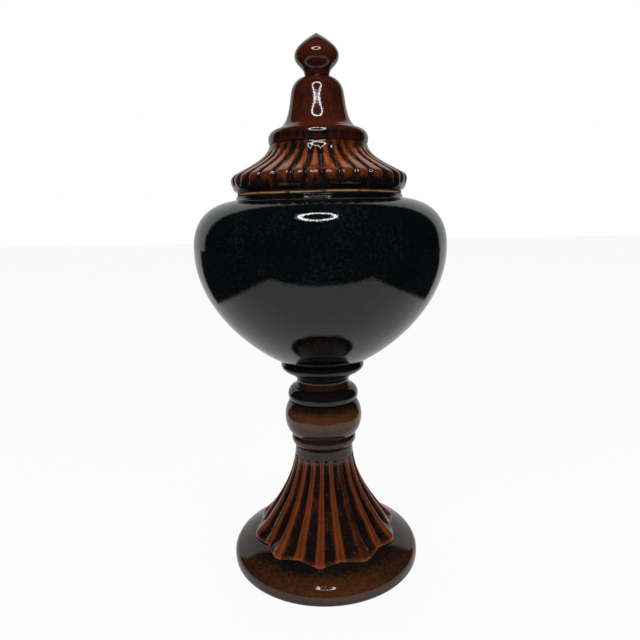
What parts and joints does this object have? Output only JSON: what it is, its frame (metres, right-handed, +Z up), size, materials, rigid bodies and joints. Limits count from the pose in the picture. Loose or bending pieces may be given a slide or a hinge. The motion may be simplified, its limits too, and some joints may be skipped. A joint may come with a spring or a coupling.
{
  "type": "lidded pedestal urn",
  "caption": "Glazed ceramic lidded urn: squat bowl on a turned stem and fluted trumpet foot, with a lift-off fluted bell lid and onion finial.",
  "frame": {"origin": "centre of the foot plate's resting plane", "axes": "+Z up along the urn's axis of turning, towards the finial; -Y is the front of the picture"},
  "size_m": [0.2008, 0.2008, 0.43],
  "materials": {
    "foot_plate_glaze": "glossy dark brown glaze, amber towards the edge",
    "fluted_foot_glaze": "glossy amber-brown glaze on the ridges, near-black in the channels",
    "stem_brown_glaze": "glossy dark brown glaze",
    "black_glaze": "mirror-black glaze",
    "bare_clay": "unglazed buff clay",
    "lid_skirt_glaze": "glossy orange-brown glaze, dark in the grooves",
    "lid_mahogany_glaze": "glossy red-brown glaze"
  },
  "bodies": {
    "urn_body": {"foot_plate": "foot_plate_glaze", "fluted_foot": "fluted_foot_glaze", "stem_bead": "stem_brown_glaze", "stem_knop": "stem_brown_glaze", "stem_ring": "black_glaze", "stem_collar": "black_glaze", "bowl": "black_glaze"},
    "lid": {"lid_seat": "bare_clay", "lid_skirt": "lid_skirt_glaze", "lid_dome": "lid_mahogany_glaze", "finial": "lid_mahogany_glaze"}
  },
  "joints": [
    {"name": "lid_lift", "type": "slide", "parent": "urn_body", "child": "lid", "axis": [0, 0, 1], "range_m": [0, 0.12]}
  ]
}
